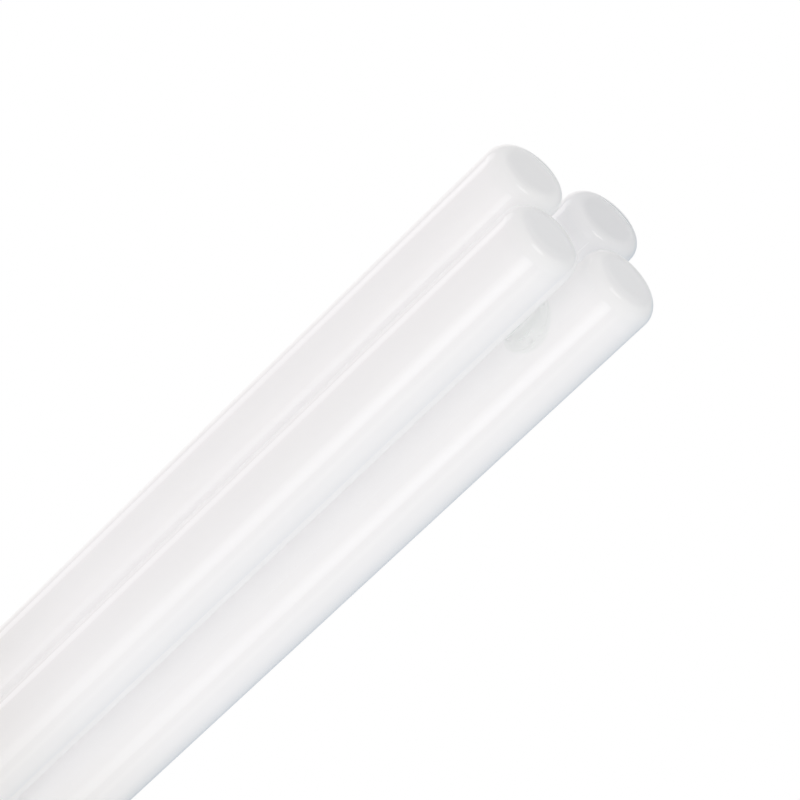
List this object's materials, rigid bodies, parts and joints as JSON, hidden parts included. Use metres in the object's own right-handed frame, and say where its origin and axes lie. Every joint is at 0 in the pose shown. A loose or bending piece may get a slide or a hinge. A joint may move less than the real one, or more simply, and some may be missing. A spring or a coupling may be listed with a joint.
{
  "type": "plug-in compact fluorescent lamp",
  "caption": "Plug-in compact fluorescent lamp: straight white-coated glass tubes joined by clear glass bridges, standing in a moulded pin cap with a centre post.",
  "frame": {"origin": "centre of the centre post's end face, the lowest face of the lamp when it stands cap down", "axes": "+Z along the tubes from the cap to the tips; X across each pair of tubes that is bridged near the tips; Y from one pair to the other"},
  "size_m": [0.034, 0.034, 0.182],
  "materials": {
    "tube_glass": "clear smooth glass over a white inner coating",
    "bridge_glass": "clear fire-polished glass with a faint green tint",
    "phosphor_coat": "matte white powder coating on the inside of the tubes",
    "cap_plastic": "satin moulded white plastic",
    "cement": "matte cement",
    "pin_metal": "plated and slightly scratched",
    "lead_metal": "drawn wire",
    "tungsten": "dull drawn wire",
    "amalgam_metal": "satin"
  },
  "bodies": {
    "root": {"glass_tube_a": "tube_glass", "glass_tube_b": "tube_glass", "glass_tube_c": "tube_glass", "glass_tube_d": "tube_glass", "tip_bridge_ac": "bridge_glass", "tip_bridge_bd": "bridge_glass", "base_bridge_cd": "bridge_glass", "stem_a": "bridge_glass", "exhaust_tube_a": "bridge_glass", "electrode_coil_a": "tungsten", "amalgam_flag_a": "amalgam_metal", "lead_wire_a_near": "lead_metal", "lead_wire_a_far": "lead_metal", "stem_b": "bridge_glass", "exhaust_tube_b": "bridge_glass", "electrode_coil_b": "tungsten", "amalgam_flag_b": "amalgam_metal", "lead_wire_b_near": "lead_metal", "lead_wire_b_far": "lead_metal", "amalgam_pellet": "amalgam_metal", "end_cap_c": "bridge_glass", "end_cap_d": "bridge_glass", "cap_shell": "cap_plastic", "cap_floor": "cap_plastic", "centre_post": "cap_plastic", "cement_bed": "cement", "contact_pin_1": "pin_metal", "contact_pin_2": "pin_metal", "contact_pin_3": "pin_metal", "contact_pin_4": "pin_metal"}
  },
  "joints": []
}
